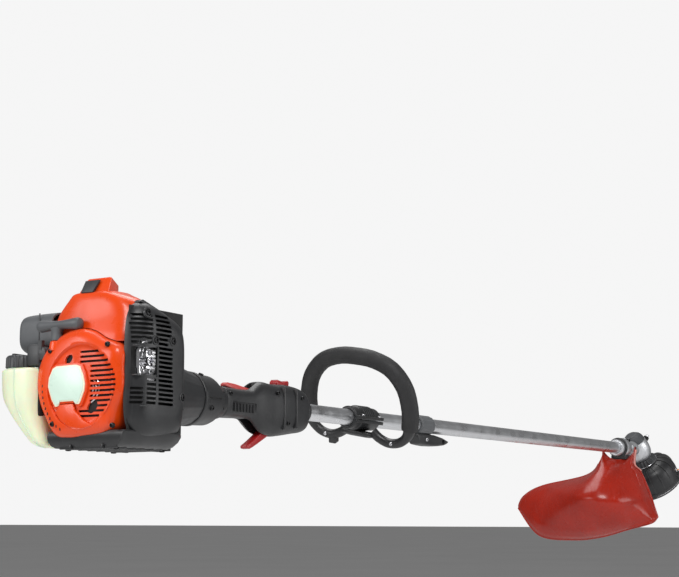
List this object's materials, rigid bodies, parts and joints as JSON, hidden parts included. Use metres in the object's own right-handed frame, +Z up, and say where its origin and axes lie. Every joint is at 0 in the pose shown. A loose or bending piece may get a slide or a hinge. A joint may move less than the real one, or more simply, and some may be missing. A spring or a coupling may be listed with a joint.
{
  "type": "string trimmer",
  "caption": "Petrol string trimmer with a shrouded engine, straight metal shaft, loop front handle, rear throttle grip, curved debris guard and a round line head on an angled gearbox.",
  "frame": {"origin": "on the shaft axis at half length, where a storage rack or a stand holds the bare tube", "axes": "+X along the shaft from the engine to the cutting head, +Y to the left, +Z up, towards the engine hood and the top of the loop handle"},
  "size_m": [1.9388, 0.3231, 0.3276],
  "materials": {
    "orange_plastic": "moulded, glossy",
    "guard_plastic": "moulded, glossy, scuffed",
    "black_plastic": "fine moulded grain",
    "dark_plastic": "moulded",
    "grey_plastic": "moulded, satin",
    "red_plastic": "moulded, glossy",
    "pink_plastic": "moulded, glossy",
    "tank_plastic": "translucent, natural",
    "nylon": "moulded nylon",
    "rubber": "soft, matt",
    "foam": "open felt",
    "line": "drawn monofilament",
    "rope": "braided",
    "steel": "ground",
    "chrome_steel": "bright",
    "cast_aluminium": "as cast",
    "tube_aluminium": "drawn, bright",
    "cast_grey": "rough paint on casting"
  },
  "bodies": {
    "frame": {"starter_housing": "orange_plastic", "top_cover": "orange_plastic", "guard": "guard_plastic", "recoil_spring": "steel", "crankcase": "cast_aluminium", "cylinder": "cast_aluminium", "spark_plug": "steel", "ignition_lead": "rubber", "ignition_coil": "dark_plastic", "muffler": "chrome_steel", "muffler_cover": "black_plastic", "carburettor": "cast_aluminium", "filter_box": "dark_plastic", "air_filter": "foam", "air_filter_cover": "grey_plastic", "fuel_tank": "tank_plastic", "engine_base": "black_plastic", "clutch_housing": "black_plastic", "clutch_cover": "black_plastic", "grip_flange": "black_plastic", "vibration_damper": "rubber", "shaft_tube": "tube_aluminium", "shaft_bush": "nylon", "rear_handle_left": "black_plastic", "rear_handle_right": "black_plastic", "throttle_cable": "rubber", "hanger_clamp": "grey_plastic", "gearbox_sleeve": "cast_aluminium", "gearbox_housing": "cast_grey", "line_cutter": "steel"},
    "trigger": {"throttle_trigger": "red_plastic"},
    "lockout": {"throttle_lockout": "pink_plastic"},
    "switch": {"stop_switch": "red_plastic"},
    "throttle_lever": {"carb_throttle_lever": "steel"},
    "choke": {"choke_lever": "dark_plastic"},
    "primer": {"primer_bulb": "nylon"},
    "cap": {"fuel_cap": "dark_plastic"},
    "pull": {"starter_grip": "grey_plastic", "starter_rope": "rope"},
    "pulley": {"starter_pulley": "nylon"},
    "crank": {"crankshaft_rear": "steel", "crankshaft_front": "steel", "flywheel": "cast_aluminium", "clutch_hub": "steel"},
    "piston_and_rod": {"piston": "cast_aluminium", "connecting_rod": "steel"},
    "drive": {"clutch_drum": "steel", "drive_shaft": "steel", "pinion_gear": "steel"},
    "head": {"output_gear": "steel", "drive_flange": "dark_plastic", "head_housing": "black_plastic", "head_cover": "black_plastic", "tap_spring": "steel"},
    "tap": {"tap_button": "dark_plastic", "line_spool": "nylon", "cutting_line": "line"},
    "loop": {"loop_handle": "rubber", "handle_clamp_upper": "black_plastic", "handle_clamp_lower": "black_plastic"}
  },
  "joints": [
    {"name": "throttle_trigger", "type": "hinge", "parent": "frame", "child": "trigger", "pos_m": [-0.606, 0, -0.0225], "axis": [0, 1, 0], "range_deg": [0, 20], "stiffness_Nm_per_rad": 0.05},
    {"name": "throttle_lockout", "type": "hinge", "parent": "frame", "child": "lockout", "pos_m": [-0.643, 0, 0.0165], "axis": [0, -1, 0], "range_deg": [0, 6.9], "stiffness_Nm_per_rad": 0.1},
    {"name": "stop_switch", "type": "hinge", "parent": "frame", "child": "switch", "pos_m": [-0.572, 0, 0.027], "axis": [0, 1, 0], "range_deg": [0, 11], "stiffness_Nm_per_rad": 0.05},
    {"name": "carb_throttle", "type": "hinge", "parent": "frame", "child": "throttle_lever", "pos_m": [-0.874, 0.051, 0.051], "axis": [1, 0, 0], "range_deg": [0, 60]},
    {"name": "choke", "type": "hinge", "parent": "frame", "child": "choke", "pos_m": [-0.95, 0.08, 0.0445], "axis": [-1, 0, 0], "range_deg": [0, 70]},
    {"name": "primer_press", "type": "slide", "parent": "frame", "child": "primer", "axis": [-1, 0, 0], "range_m": [0, 0.003], "stiffness_N_per_m": 400},
    {"name": "fuel_cap_turn", "type": "hinge", "parent": "frame", "child": "cap", "pos_m": [-0.956, 0.115, 0.0285], "axis": [0, 0, 1], "range_deg": [0, 180]},
    {"name": "starter_pull", "type": "slide", "parent": "frame", "child": "pull", "axis": [0, 0, 1], "range_m": [0, 0.6], "stiffness_N_per_m": 15, "deforming": ["starter_rope"]},
    {"name": "pulley_spin", "type": "hinge", "parent": "frame", "child": "pulley", "pos_m": [-0.9573, 0, 0], "axis": [1, 0, 0], "range_deg": [0, 1330]},
    {"name": "crank_spin", "type": "hinge", "parent": "frame", "child": "crank", "pos_m": [-0.92, 0, 0], "axis": [1, 0, 0], "continuous": true},
    {"name": "piston_stroke", "type": "slide", "parent": "frame", "child": "piston_and_rod", "axis": [0, 0, 1], "range_m": [0, 0.028]},
    {"name": "drive_spin", "type": "hinge", "parent": "frame", "child": "drive", "pos_m": [-0.07, 0, 0], "axis": [1, 0, 0], "continuous": true},
    {"name": "head_spin", "type": "hinge", "parent": "frame", "child": "head", "pos_m": [0.86, 0, 0], "axis": [-0.5736, 0.212, 0.7912], "continuous": true},
    {"name": "tap_to_feed", "type": "slide", "parent": "head", "child": "tap", "axis": [-0.5736, 0.212, 0.7912], "range_m": [0, 0.004], "stiffness_N_per_m": 1500},
    {"name": "loop_handle_slide", "type": "slide", "parent": "frame", "child": "loop", "axis": [1, 0, 0], "range_m": [-0.06, 0.1]}
  ],
  "couplings": [
    {"joint": "carb_throttle", "follows": "throttle_trigger", "ratio": 3},
    {"joint": "pulley_spin", "follows": "starter_pull", "rad_per_m": 38.462},
    {"joint": "head_spin", "follows": "drive_spin", "ratio": -0.70588}
  ]
}
